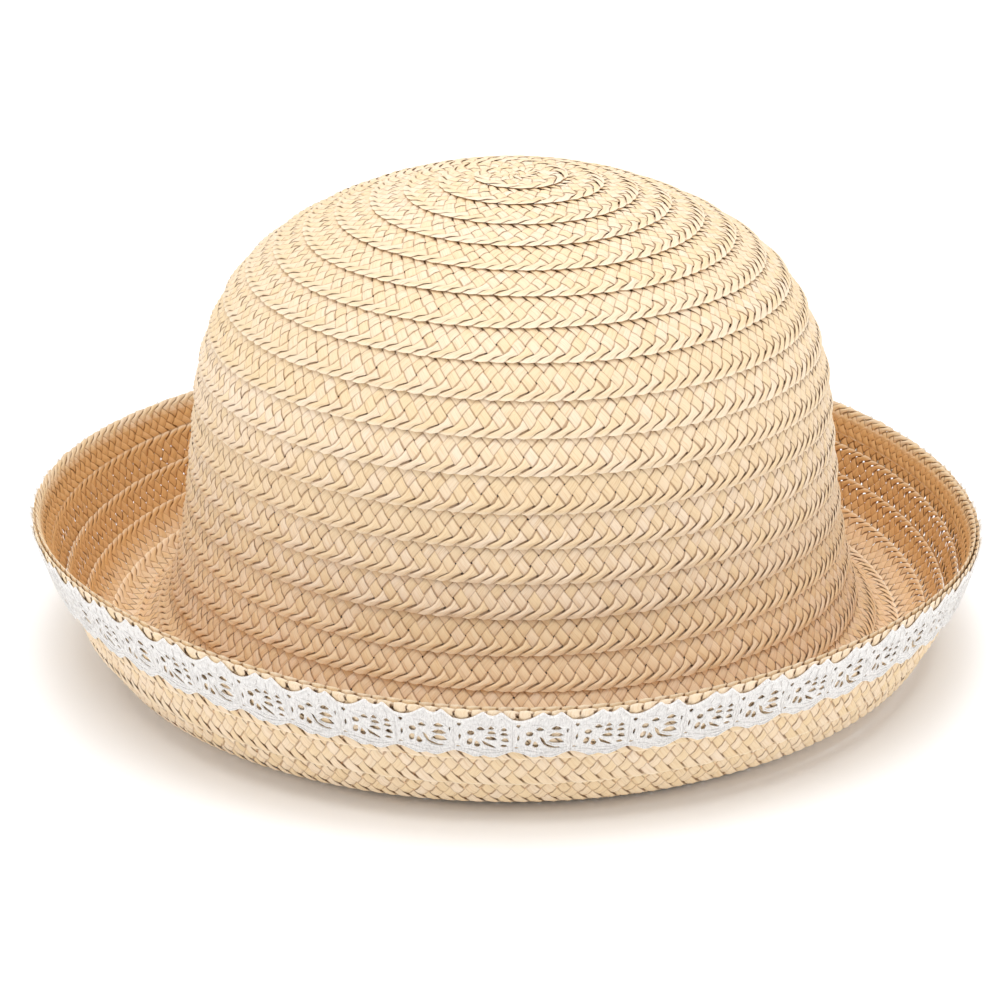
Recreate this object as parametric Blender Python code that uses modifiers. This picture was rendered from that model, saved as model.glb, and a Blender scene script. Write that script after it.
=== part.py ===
"""Child's straw hat, sewn from one flat braid in a spiral, with a rolled-up brim and a lace trim.

The hat stands on the lowest ring of its brim, on the plane Z = 0. Its front is towards -Y, and the middle of
the box round it is on Z. Units are metres.
"""

import bisect
import math

import bmesh
import bpy
from mathutils import Vector

# Overall form, measured on the middle of the straw's thickness
CROWN_RADIUS = 0.0890  # at the crown's foot, where it turns into the brim
CROWN_HEIGHT = 0.1095  # from its foot to its tip
FOOT_HEIGHT = 0.0120  # the crown's foot above the surface that the hat stands on
REST_RADIUS = 0.1005  # the ring that the hat stands on
REST_WIDTH = 0.0044  # that ring's flat width
BRIM_RADIUS = 0.1203  # at the rim
BRIM_HEIGHT = 0.0355  # the rim above the surface that the hat stands on
RIM_RISE = 0.0050  # the most that the rim rises or falls on its way round
RIM_SPREAD = 0.0017  # the most that the rim leans out or in on its way round
WAVE_START = 0.0045  # the height from which the brim's wall takes the rim's wave

# The braid
STRAW_THICKNESS = 0.0020
TIP_RADIUS = 0.0126  # the coiled start of the braid at the crown's tip
ROW_PITCH = 0.00886  # from one turn of the braid to the next
TIP_TURNS = 8  # turns of braid in the crown's tip, before it goes over into the side
ROW_STEP = 0.0009  # how far each row's lip stands out over the next row
EDGE_BRAID_WIDTH = 0.0090
EDGE_BRAID_THICKNESS = 0.0012
EDGE_GROOVE = 0.0006  # depth of the groove between the rim's two lips

# The lace
LACE_WIDTH = 0.0145
LACE_THICKNESS = 0.0010
LACE_DROP = 0.0004  # from the rim down to the points of the lace
LACE_MOTIFS = 58
SCOOP_DEPTH = 0.0026  # the upper edge's hollow between two points
SCALLOP_DEPTH = 0.0018  # the lower edge's hollow between two motifs
LACE_BAR = 0.0016  # least width of the threads round an opening

CLEARANCE = 0.0003
STEPS = 48  # flats round the hat

# Rows: share of CROWN_RADIUS, share of CROWN_HEIGHT, from the tip to the foot
CROWN_PROFILE = (
    # radius, height
    (0.000, 1.000),
    (0.169, 0.986),
    (0.318, 0.958),
    (0.478, 0.914),
    (0.638, 0.848),
    (0.762, 0.764),
    (0.838, 0.664),
    (0.884, 0.556),
    (0.903, 0.442),
    (0.921, 0.324),
    (0.940, 0.206),
    (0.966, 0.098),
    (1.000, 0.000),
)
# Rows: share of the way from CROWN_RADIUS to REST_RADIUS, share of FOOT_HEIGHT
FLOOR_PROFILE = (
    # radius, height
    (0.24, 0.66),
    (0.58, 0.32),
    (1.00, 0.10),
)
# Rows: share of the way from REST_RADIUS to BRIM_RADIUS, share of BRIM_HEIGHT
WALL_PROFILE = (
    # radius, height
    (0.215, 0.115),
    (0.365, 0.225),
    (0.555, 0.425),
    (0.775, 0.725),
    (1.000, 1.000),
)
# Rows: azimuth from the front, towards +X, in degrees; share of RIM_RISE; share of RIM_SPREAD
RIM_WAVE = (
    # azimuth, rise, spread
    (0, 0.00, 0.0),
    (50, 0.29, -0.7),
    (95, -0.65, -1.0),
    (140, -0.60, -0.7),
    (185, -0.65, 0.0),
    (230, -0.30, 0.7),
    (270, 0.45, 1.0),
    (310, 1.00, 0.7),
)


def principled(name, colour, roughness):
    """A plain material of this colour and roughness."""
    material = bpy.data.materials.new(name)
    material.use_nodes = True
    shader = material.node_tree.nodes["Principled BSDF"]
    shader.inputs["Base Color"].default_value = (*colour, 1.0)
    shader.inputs["Roughness"].default_value = roughness
    shader.inputs["Metallic"].default_value = 0.0
    return material


def blend(low, high, share):
    return low + (high - low) * share


def spline(knots, at):
    """The Catmull-Rom curve through evenly spaced knots, at a parameter from 0 to their count less one."""
    cell = min(int(at), len(knots) - 2)
    t = at - cell
    before = knots[cell - 1] if cell else 2 * knots[0] - knots[1]
    after = knots[cell + 2] if cell + 2 < len(knots) else 2 * knots[-1] - knots[-2]
    a, b = knots[cell], knots[cell + 1]
    return a + 0.5 * t * ((b - before) + t * (2 * before - 5 * a + 4 * b - after
                                              + t * (3 * (a - b) + after - before)))


class Section:
    """The hat's half section as one curve, from the crown's tip to the rim, measured by its length."""

    SAMPLES = 24  # to each knot

    def __init__(self):
        crown = [Vector((r * CROWN_RADIUS, FOOT_HEIGHT + z * CROWN_HEIGHT)) for r, z in CROWN_PROFILE]
        floor = [
            Vector((blend(CROWN_RADIUS, REST_RADIUS, r), z * FOOT_HEIGHT)) for r, z in FLOOR_PROFILE
        ]
        wall = [Vector((blend(REST_RADIUS, BRIM_RADIUS, r), z * BRIM_HEIGHT)) for r, z in WALL_PROFILE]
        knots = crown + floor + wall
        count = (len(knots) - 1) * self.SAMPLES
        self.points = [spline(knots, i / self.SAMPLES) for i in range(count + 1)]
        self.lengths = [0.0]
        for a, b in zip(self.points, self.points[1:]):
            self.lengths.append(self.lengths[-1] + (b - a).length)
        self.foot = self.lengths[(len(crown) - 1) * self.SAMPLES]
        self.rest = self.lengths[(len(crown) + len(floor) - 1) * self.SAMPLES]
        self.rim = self.lengths[-1]

    def at(self, length, out=0.0):
        """The point (radius, height) at this length, moved out by this much on the crown's outer side."""
        i = min(max(bisect.bisect(self.lengths, length), 1), len(self.points) - 1)
        a, b = self.points[i - 1], self.points[i]
        share = (length - self.lengths[i - 1]) / (self.lengths[i] - self.lengths[i - 1])
        before = self.points[max(i - 3, 0)]
        after = self.points[min(i + 2, len(self.points) - 1)]
        along = (after - before).normalized()
        return a.lerp(b, share) + out * Vector((-along.y, along.x))


SECTION = Section()
HALF = STRAW_THICKNESS / 2


def row_ends():
    """The lengths at which the turns of braid end on the crown, and then on the brim."""
    turns = int((SECTION.foot - TIP_RADIUS) / ROW_PITCH)
    crown = [TIP_RADIUS + i * ROW_PITCH for i in range(turns + 1)]
    brim = []
    while crown[-1] + (len(brim) + 1) * ROW_PITCH < SECTION.rim - ROW_PITCH / 3:
        brim.append(crown[-1] + (len(brim) + 1) * ROW_PITCH)
    return crown, brim + [SECTION.rim]


CROWN_ROWS, BRIM_ROWS = row_ends()
FLOOR_ROWS = [end for end in BRIM_ROWS if end - ROW_PITCH < SECTION.rest + REST_WIDTH / 2]
WALL_ROWS = BRIM_ROWS[len(FLOOR_ROWS):]


def wave(azimuth, column):
    """A column of RIM_WAVE read at this azimuth, in degrees from the front towards +X."""
    azimuths = [row[0] for row in RIM_WAVE] + [360]
    cell = bisect.bisect(azimuths, azimuth % 360) - 1
    t = (azimuth % 360 - azimuths[cell]) / (azimuths[cell + 1] - azimuths[cell])
    ring = [RIM_WAVE[(cell + step) % len(RIM_WAVE)][column] for step in (-1, 0, 1, 2)]
    return spline(ring, 1 + t)


def shape_rim(mesh):
    """Gives the rim its wave: what stands higher on the brim's wall rises and leans more."""
    for vertex in mesh.verts:
        radius = math.hypot(vertex.co.x, vertex.co.y)
        azimuth = math.degrees(math.atan2(vertex.co.x, -vertex.co.y))
        share = min(max((vertex.co.z - WAVE_START) / (BRIM_HEIGHT - WAVE_START), 0.0), 1.0)
        wider = 1.0 + share * RIM_SPREAD * wave(azimuth, 2) / radius
        vertex.co.x *= wider
        vertex.co.y *= wider
        vertex.co.z += share * RIM_RISE * wave(azimuth, 1)


def collection(name):
    made = bpy.data.collections.new(name)
    bpy.context.scene.collection.children.link(made)
    return made


def evaluated(guide):
    """The mesh that this object's modifiers or curve make. The object itself is removed."""
    graph = bpy.context.evaluated_depsgraph_get()
    data = bpy.data.meshes.new_from_object(guide.evaluated_get(graph))
    mesh = bmesh.new()
    mesh.from_mesh(data)
    bpy.data.meshes.remove(data)
    bpy.data.objects.remove(guide)
    return mesh


def finish(mesh, name, material, hat):
    """Makes an object of this mesh, shaded smooth but for its sharp edges."""
    data = bpy.data.meshes.new(name)
    bmesh.ops.recalc_face_normals(mesh, faces=mesh.faces)
    mesh.to_mesh(data)
    mesh.free()
    data.shade_smooth()
    data.set_sharp_from_angle(angle=math.radians(40))
    data.materials.append(material)
    made = bpy.data.objects.new(name, data)
    hat.objects.link(made)
    return made


def turned(profile):
    """A mesh turned round Z from an outline of points (radius, height), closed if it is off the axis."""
    data = bpy.data.meshes.new("profile")
    edges = [(i, i + 1) for i in range(len(profile) - 1)]
    if profile[0].x > 0.0:
        edges.append((len(profile) - 1, 0))
    data.from_pydata([(point.x, 0.0, point.y) for point in profile], edges, [])
    guide = bpy.data.objects.new("profile", data)
    bpy.context.scene.collection.objects.link(guide)
    screw = guide.modifiers.new("turn", "SCREW")
    screw.steps = screw.render_steps = STEPS
    screw.use_merge_vertices = True
    screw.merge_threshold = 1e-6
    return evaluated(guide)


def stepped(ends, start, out, step, lip_first=False):
    """The stepped face of the rows that end at these lengths, as (length, out) pairs.

    Each row stands out by the step at its lip. The lip is the row's last edge, or its first.
    """
    face = []
    for end in ends:
        first, last = (step, 0.0) if lip_first else (0.0, step)
        face.append((start, out + first))
        face.append((end, out + last))
        start = end
    return face


def crown_profile(start, ends):
    """The outline of these crown rows: stepped outside, smooth inside with a point for every other row."""
    outer = stepped(ends, start, HALF, ROW_STEP)
    inner = [(length, -HALF) for length in [ends[-1]] + ends[-2::-2]]
    return [SECTION.at(length, out) for length, out in outer + inner]


def crown_tip(hat, straw):
    """The crown's domed tip, coiled from its middle out."""
    profile = crown_profile(0.0, CROWN_ROWS[:TIP_TURNS])
    profile.append(SECTION.at(TIP_RADIUS / 2, -HALF))
    profile[0].x = profile[-1].x = 0.0
    return finish(turned(profile), "crown_tip", straw, hat)


def crown_side(hat, straw):
    """The crown's side, from the tip's last turn down to the foot."""
    start = CROWN_ROWS[TIP_TURNS - 1] + CLEARANCE
    profile = crown_profile(start, CROWN_ROWS[TIP_TURNS:])
    profile.append(SECTION.at(start, -HALF))
    return finish(turned(profile), "crown_side", straw, hat)


def brim_faces(start, ends):
    """The two faces of these brim rows, upper and lower, both stepped and both from the crown outwards."""
    upper = stepped(ends, start, HALF, ROW_STEP)
    lower = stepped(ends, start, HALF, ROW_STEP, lip_first=True)
    face = [SECTION.at(length, out) for length, out in upper]
    back = [SECTION.at(length, -out) for length, out in lower]
    return face, back


def brim_floor(hat, straw):
    """The brim's floor, from the crown's foot over the flat ring that the hat stands on."""
    face, back = brim_faces(CROWN_ROWS[-1] + CLEARANCE, FLOOR_ROWS)
    inside, outside = REST_RADIUS - REST_WIDTH / 2, REST_RADIUS + REST_WIDTH / 2
    before = [point for point in back if point.x < inside]
    after = [point for point in back if point.x > outside and point.y > 0.0]
    back = before + [Vector((inside, 0.0)), Vector((outside, 0.0))] + after
    return finish(turned(face + back[::-1]), "brim_floor", straw, hat)


def brim_wall(hat, straw):
    """The brim's upturned wall, from its floor to the rim."""
    face, back = brim_faces(FLOOR_ROWS[-1] + CLEARANCE, WALL_ROWS)
    mesh = turned(face + back[::-1])
    shape_rim(mesh)
    return finish(mesh, "brim_wall", straw, hat)


def brim_edge(hat, straw):
    """The doubled last turn of braid, inside the brim's own last row, with its lip level with the rim."""
    near = HALF + ROW_STEP + CLEARANCE
    far = near + EDGE_BRAID_THICKNESS
    middle = (near + far) / 2
    low = SECTION.rim - EDGE_BRAID_WIDTH
    outline = (
        (low + EDGE_GROOVE, near),
        (low, middle),
        (low + EDGE_GROOVE, far),
        (SECTION.rim - EDGE_GROOVE, far),
        (SECTION.rim, middle),
        (SECTION.rim - EDGE_GROOVE, near),
    )
    mesh = turned([SECTION.at(length, out) for length, out in outline])
    shape_rim(mesh)
    return finish(mesh, "brim_edge", straw, hat)


def lace_outlines(period):
    """One motif laid flat: its outline and its openings, as (along, up) pairs."""
    top, middle = LACE_WIDTH, period / 2
    edge = (
        (0.0, SCALLOP_DEPTH),
        (middle, 0.0),
        (period, SCALLOP_DEPTH),
        (period, top - SCOOP_DEPTH),
        (middle + LACE_BAR, top),
        (middle, top - LACE_BAR / 2),
        (middle - LACE_BAR, top),
        (0.0, top - SCOOP_DEPTH),
    )
    low, high = SCALLOP_DEPTH + LACE_BAR, top - SCOOP_DEPTH - LACE_BAR / 2
    waist = blend(low, high, 0.55)
    left = (
        (LACE_BAR / 2, waist),
        (middle / 2, low),
        (middle - LACE_BAR / 2, low + LACE_BAR / 2),
        (middle / 2, high),
    )
    right = tuple((period - x, y) for x, y in reversed(left))
    return edge, (left, right)


def flat_motif(period):
    """The mesh of one motif, a flat outline with its openings, filled and extruded, open at its two ends."""
    curve = bpy.data.curves.new("lace_motif", "CURVE")
    curve.dimensions = "2D"
    curve.fill_mode = "BOTH"
    curve.extrude = LACE_THICKNESS / 2
    edge, openings = lace_outlines(period)
    for outline in (edge, *openings):
        line = curve.splines.new("POLY")
        line.points.add(len(outline) - 1)
        line.use_cyclic_u = True
        for point, (x, y) in zip(line.points, outline):
            point.co = (x, y, 0.0, 1.0)
    guide = bpy.data.objects.new("lace_motif", curve)
    bpy.context.scene.collection.objects.link(guide)
    mesh = evaluated(guide)
    bmesh.ops.remove_doubles(mesh, verts=mesh.verts, dist=1e-6)
    for end in (0.0, period):
        caps = [f for f in mesh.faces if all(abs(v.co.x - end) < 1e-6 for v in f.verts)]
        bmesh.ops.delete(mesh, geom=caps, context="FACES_ONLY")
    return mesh


def lace_trim(hat, cotton):
    """The lace: one motif wrapped on the brim's outer side, then spun round the hat and welded."""
    turn = math.tau / LACE_MOTIFS
    near = HALF + ROW_STEP + CLEARANCE
    period = turn * BRIM_RADIUS
    mesh = flat_motif(period)
    for vertex in mesh.verts:
        along, up, thick = vertex.co
        length = SECTION.rim - LACE_DROP - LACE_WIDTH + up
        out = -(near + LACE_THICKNESS / 2 + thick)
        radius, height = SECTION.at(length, out)
        azimuth = turn * along / period
        vertex.co = (radius * math.sin(azimuth), -radius * math.cos(azimuth), height)
    bmesh.ops.spin(
        mesh, geom=mesh.verts[:] + mesh.edges[:] + mesh.faces[:], cent=(0, 0, 0), axis=(0, 0, 1),
        angle=math.tau, steps=LACE_MOTIFS, use_duplicate=True,
    )
    bmesh.ops.remove_doubles(mesh, verts=mesh.verts, dist=2e-6)
    shape_rim(mesh)
    return finish(mesh, "lace_trim", cotton, hat)


def centre(hat):
    """Hangs the pieces on one empty, placed so that the box round the hat has its middle on Z."""
    corners = [Vector(corner) for piece in hat.objects for corner in piece.bound_box]
    anchor = bpy.data.objects.new("hat_origin", None)
    for axis in (0, 1):
        reach = [corner[axis] for corner in corners]
        anchor.location[axis] = -(min(reach) + max(reach)) / 2
    for piece in list(hat.objects):
        piece.parent = anchor
    hat.objects.link(anchor)


def main():
    for thing in list(bpy.data.objects):
        bpy.data.objects.remove(thing)
    hat = collection("straw_hat")
    straw = principled("straw_braid", (0.72, 0.52, 0.31), 0.55)
    cotton = principled("cotton_lace", (0.86, 0.87, 0.88), 0.8)
    crown_tip(hat, straw)
    crown_side(hat, straw)
    brim_floor(hat, straw)
    brim_wall(hat, straw)
    brim_edge(hat, straw)
    lace_trim(hat, cotton)
    centre(hat)


if __name__ == "__main__":
    main()
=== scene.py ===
"""Child's straw hat: one flat braid of five straws, sewn in a spiral, with a cotton lace trim on its brim."""

import logging
import math
from dataclasses import dataclass, field
from enum import Enum

import bpy
import numpy as np
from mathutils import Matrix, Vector


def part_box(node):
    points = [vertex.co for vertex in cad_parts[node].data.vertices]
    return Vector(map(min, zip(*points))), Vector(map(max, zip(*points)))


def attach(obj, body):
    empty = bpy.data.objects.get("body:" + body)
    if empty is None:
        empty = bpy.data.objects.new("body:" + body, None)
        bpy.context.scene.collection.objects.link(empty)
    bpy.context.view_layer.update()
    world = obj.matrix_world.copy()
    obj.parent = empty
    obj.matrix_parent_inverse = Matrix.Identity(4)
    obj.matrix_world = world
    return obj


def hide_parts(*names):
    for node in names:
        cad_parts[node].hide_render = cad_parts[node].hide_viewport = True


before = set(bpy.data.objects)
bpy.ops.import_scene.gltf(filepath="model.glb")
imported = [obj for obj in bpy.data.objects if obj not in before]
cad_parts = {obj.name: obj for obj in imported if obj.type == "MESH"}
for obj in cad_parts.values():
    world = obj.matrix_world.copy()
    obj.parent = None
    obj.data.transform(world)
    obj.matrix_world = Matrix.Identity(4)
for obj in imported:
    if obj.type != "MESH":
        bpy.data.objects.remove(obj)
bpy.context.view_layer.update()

LOG = logging.getLogger("straw_hat")
MM = 0.001
SMOOTH = "SMOOTHSTEP"


# Small helpers


def linear(colour: str) -> tuple[float, float, float, float]:
    """Turns an sRGB hex colour to Blender's linear colour.

    Args:
        colour: Six hex digits, such as "E8D5B4".

    Returns:
        Linear red, green and blue, with an alpha of 1.
    """
    shares = [int(colour[i:i + 2], 16) / 255 for i in (0, 2, 4)]
    return tuple(c / 12.92 if c <= 0.04045 else ((c + 0.055) / 1.055) ** 2.4 for c in shares) + (1.0,)


def select_only(*pieces: bpy.types.Object) -> None:
    """Selects these objects and nothing else, with the first one active."""
    bpy.ops.object.select_all(action="DESELECT")
    for piece in pieces:
        piece.select_set(True)
    bpy.context.view_layer.objects.active = pieces[0]


def points_of(piece: bpy.types.Object) -> np.ndarray:
    """The vertices of a mesh object, as rows of x, y and z."""
    flat = np.empty(len(piece.data.vertices) * 3, np.float32)
    piece.data.vertices.foreach_get("co", flat)
    return flat.reshape(-1, 3).astype(float)


def set_points(piece: bpy.types.Object, points: np.ndarray) -> None:
    """Moves the vertices of a mesh object to these rows of x, y and z."""
    piece.data.vertices.foreach_set("co", points.astype(np.float32).ravel())
    piece.data.update()


def map_corners(data: bpy.types.Mesh, name: str, flat: np.ndarray) -> np.ndarray:
    """Makes this the mesh's only UV map.

    Args:
        data: The mesh.
        name: The map's name.
        flat: A row of u and v for each vertex.

    Returns:
        The vertex of each face corner.
    """
    while data.uv_layers:
        data.uv_layers.remove(data.uv_layers[0])
    layer = data.uv_layers.new(name=name)
    corners = np.empty(len(data.loops), np.int32)
    data.loops.foreach_get("vertex_index", corners)
    layer.data.foreach_set("uv", flat[corners].astype(np.float32).ravel())
    return corners


def catmull(knots: np.ndarray, at: np.ndarray) -> np.ndarray:
    """Reads the Catmull-Rom curve through evenly spaced knots.

    Args:
        knots: One row for each knot.
        at: Parameters from 0 to the number of knots less one.

    Returns:
        One row for each parameter.
    """
    cell = np.clip(at.astype(int), 0, len(knots) - 2)
    padded = np.vstack([2 * knots[0] - knots[1], knots, 2 * knots[-1] - knots[-2]])
    before, a, b, after = (padded[cell + step] for step in range(4))
    t = (at - cell)[:, None]
    return a + 0.5 * t * ((b - before) + t * (2 * before - 5 * a + 4 * b - after
                                              + t * (3 * (a - b) + after - before)))


# The hat's form


@dataclass(frozen=True)
class HatForm:
    """The curved surface that the braid follows, with the sizes of the solid hat.

    A place on it is a turn round the hat, from the front towards +X, a length along the half section, from
    the crown's tip to the rim, and a distance out of the middle of the straw, on the crown's outer side.
    """

    axis: tuple[float, float]
    crown_radius: float = 89.0 * MM
    crown_height: float = 109.5 * MM
    foot_height: float = 12.0 * MM
    rest_radius: float = 100.5 * MM
    brim_radius: float = 120.3 * MM
    brim_height: float = 35.5 * MM
    rim_rise: float = 5.0 * MM
    rim_spread: float = 1.7 * MM
    wave_start: float = 4.5 * MM
    samples: int = 24
    # Shares of the crown's radius and height, from its tip to its foot
    crown: tuple = ((0.000, 1.000), (0.169, 0.986), (0.318, 0.958), (0.478, 0.914), (0.638, 0.848),
                    (0.762, 0.764), (0.838, 0.664), (0.884, 0.556), (0.903, 0.442), (0.921, 0.324),
                    (0.940, 0.206), (0.966, 0.098), (1.000, 0.000))
    # Shares of the way from the crown's foot to the resting ring, and of the foot's height
    floor: tuple = ((0.24, 0.66), (0.58, 0.32), (1.00, 0.10))
    # Shares of the way from the resting ring to the rim, and of the rim's height
    wall: tuple = ((0.215, 0.115), (0.365, 0.225), (0.555, 0.425), (0.775, 0.725), (1.000, 1.000))
    # Azimuth in degrees, share of the rim's rise, share of its spread
    rim_wave: tuple = ((0, 0.00, 0.0), (50, 0.29, -0.7), (95, -0.65, -1.0), (140, -0.60, -0.7),
                       (185, -0.65, 0.0), (230, -0.30, 0.7), (270, 0.45, 1.0), (310, 1.00, 0.7))
    table: dict = field(default_factory=dict, compare=False)

    def __post_init__(self) -> None:
        """Measures the half section once."""
        crown = [(r * self.crown_radius, self.foot_height + z * self.crown_height) for r, z in self.crown]
        floor = [(self.crown_radius + r * (self.rest_radius - self.crown_radius), z * self.foot_height)
                 for r, z in self.floor]
        wall = [(self.rest_radius + r * (self.brim_radius - self.rest_radius), z * self.brim_height)
                for r, z in self.wall]
        knots = np.array(crown + floor + wall)
        count = (len(knots) - 1) * self.samples
        points = catmull(knots, np.arange(count + 1) / self.samples)
        steps = np.linalg.norm(np.diff(points, axis=0), axis=1)
        lengths = np.concatenate([[0.0], np.cumsum(steps)])
        along = np.gradient(points, lengths, axis=0)
        kernel = np.ones(7) / 7
        padded = np.pad(along, ((3, 3), (0, 0)), mode="edge")
        along = np.stack([np.convolve(padded[:, i], kernel, mode="valid") for i in (0, 1)], axis=1)
        along /= np.linalg.norm(along, axis=1)[:, None]
        rest = lengths[(len(crown) + len(floor) - 1) * self.samples]
        self.table.update(points=points, lengths=lengths, along=along, rest=rest, rim=lengths[-1])

    @property
    def rim(self) -> float:
        """The length of the half section, from the tip to the rim."""
        return float(self.table["rim"])

    def section(self, length: np.ndarray, out: np.ndarray) -> tuple[np.ndarray, np.ndarray]:
        """Finds places on the half section.

        Args:
            length: Lengths from the crown's tip. One past the rim runs straight on.
            out: Distances out of the middle of the straw.

        Returns:
            The radius and the height of each place.
        """
        known = self.table["lengths"]
        r, z = (np.interp(length, known, self.table["points"][:, i]) for i in (0, 1))
        ar, az = (np.interp(length, known, self.table["along"][:, i]) for i in (0, 1))
        past = np.maximum(length - self.rim, 0.0)
        return r + past * ar - out * az, z + past * az + out * ar

    def place(self, turn: np.ndarray, length: np.ndarray, out: np.ndarray) -> np.ndarray:
        """Puts places on the hat, with the rim's wave.

        Args:
            turn: Turns round the hat from the front.
            length: Lengths from the crown's tip.
            out: Distances out of the middle of the straw.

        Returns:
            Rows of x, y and z.
        """
        radius, height = self.section(length, out)
        radius = np.maximum(radius, 0.05 * MM)
        share = (height - self.wave_start) / (self.brim_height - self.wave_start)
        share = np.clip(share, 0.0, 1.0) * (length > self.table["rest"])
        waves = np.array(self.rim_wave, float)
        knots = np.vstack([waves[-2:] - (360, 0, 0), waves, waves[:3] + (360, 0, 0)])
        degrees = np.mod(turn, 1.0) * 360
        at = np.interp(degrees, knots[:, 0], np.arange(len(knots)))
        wave = catmull(knots, at)
        radius = radius + share * self.rim_spread * wave[:, 2]
        height = height + share * self.rim_rise * wave[:, 1]
        angle = turn * math.tau
        x = self.axis[0] + radius * np.sin(angle)
        y = self.axis[1] - radius * np.cos(angle)
        return np.stack([x, y, height], axis=1)


# Materials


class Shading:
    """A node material in the making."""

    def __init__(self, name: str) -> None:
        """Starts a material with one Principled shader."""
        self.material = bpy.data.materials.new(name)
        self.material.use_nodes = True
        self.tree = self.material.node_tree
        self.shader = self.tree.nodes["Principled BSDF"]

    def node(self, kind: str, settings: dict | None = None, **links: object) -> bpy.types.Node:
        """Adds a node with its settings and links.

        Args:
            kind: Blender's type name for the node, without its ShaderNode prefix.
            settings: Attributes of the node, set before its sockets.
            **links: Sockets by name with _ for a space, or by number as i0, i1. A socket value is linked,
                and any other value is set.

        Returns:
            The node.
        """
        made = self.tree.nodes.new("ShaderNode" + kind)
        for key, value in (settings or {}).items():
            setattr(made, key, value)
        for key, value in links.items():
            number = key[1:].isdigit() and key[0] == "i"
            socket = made.inputs[int(key[1:])] if number else made.inputs[key.replace("_", " ")]
            if isinstance(value, bpy.types.NodeSocket):
                self.tree.links.new(value, socket)
            else:
                socket.default_value = value
        return made

    def ramp(self, factor: bpy.types.NodeSocket, *stops: tuple[float, str]) -> bpy.types.NodeSocket:
        """A colour ramp through these stops, each a place and a hex colour, from the factor."""
        made = self.node("ValToRGB", Fac=factor)
        elements = made.color_ramp.elements
        while len(elements) < len(stops):
            elements.new(0.5)
        for element, (place, colour) in zip(elements, stops):
            element.position = place
            element.color = linear(colour)
        return made.outputs["Color"]

    def fade(self, value: bpy.types.NodeSocket, fade: tuple, way: str = "LINEAR") -> bpy.types.NodeSocket:
        """A share of a value.

        Args:
            value: The value.
            fade: The value where the share is 0, the value where it is full, and the full share.
            way: Blender's name for how it goes from one to the other.

        Returns:
            The share.
        """
        start, end, full = fade
        made = self.node("MapRange", {"interpolation_type": way}, Value=value,
                         From_Min=start, From_Max=end, To_Max=full)
        return made.outputs[0]

    def mix(self, share: bpy.types.NodeSocket, colour: bpy.types.NodeSocket,
            other: str) -> bpy.types.NodeSocket:
        """Blends a colour towards a hex colour by this share."""
        made = self.node("Mix", {"data_type": "RGBA"}, Factor=share, i6=colour, i7=linear(other))
        return made.outputs[2]


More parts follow.
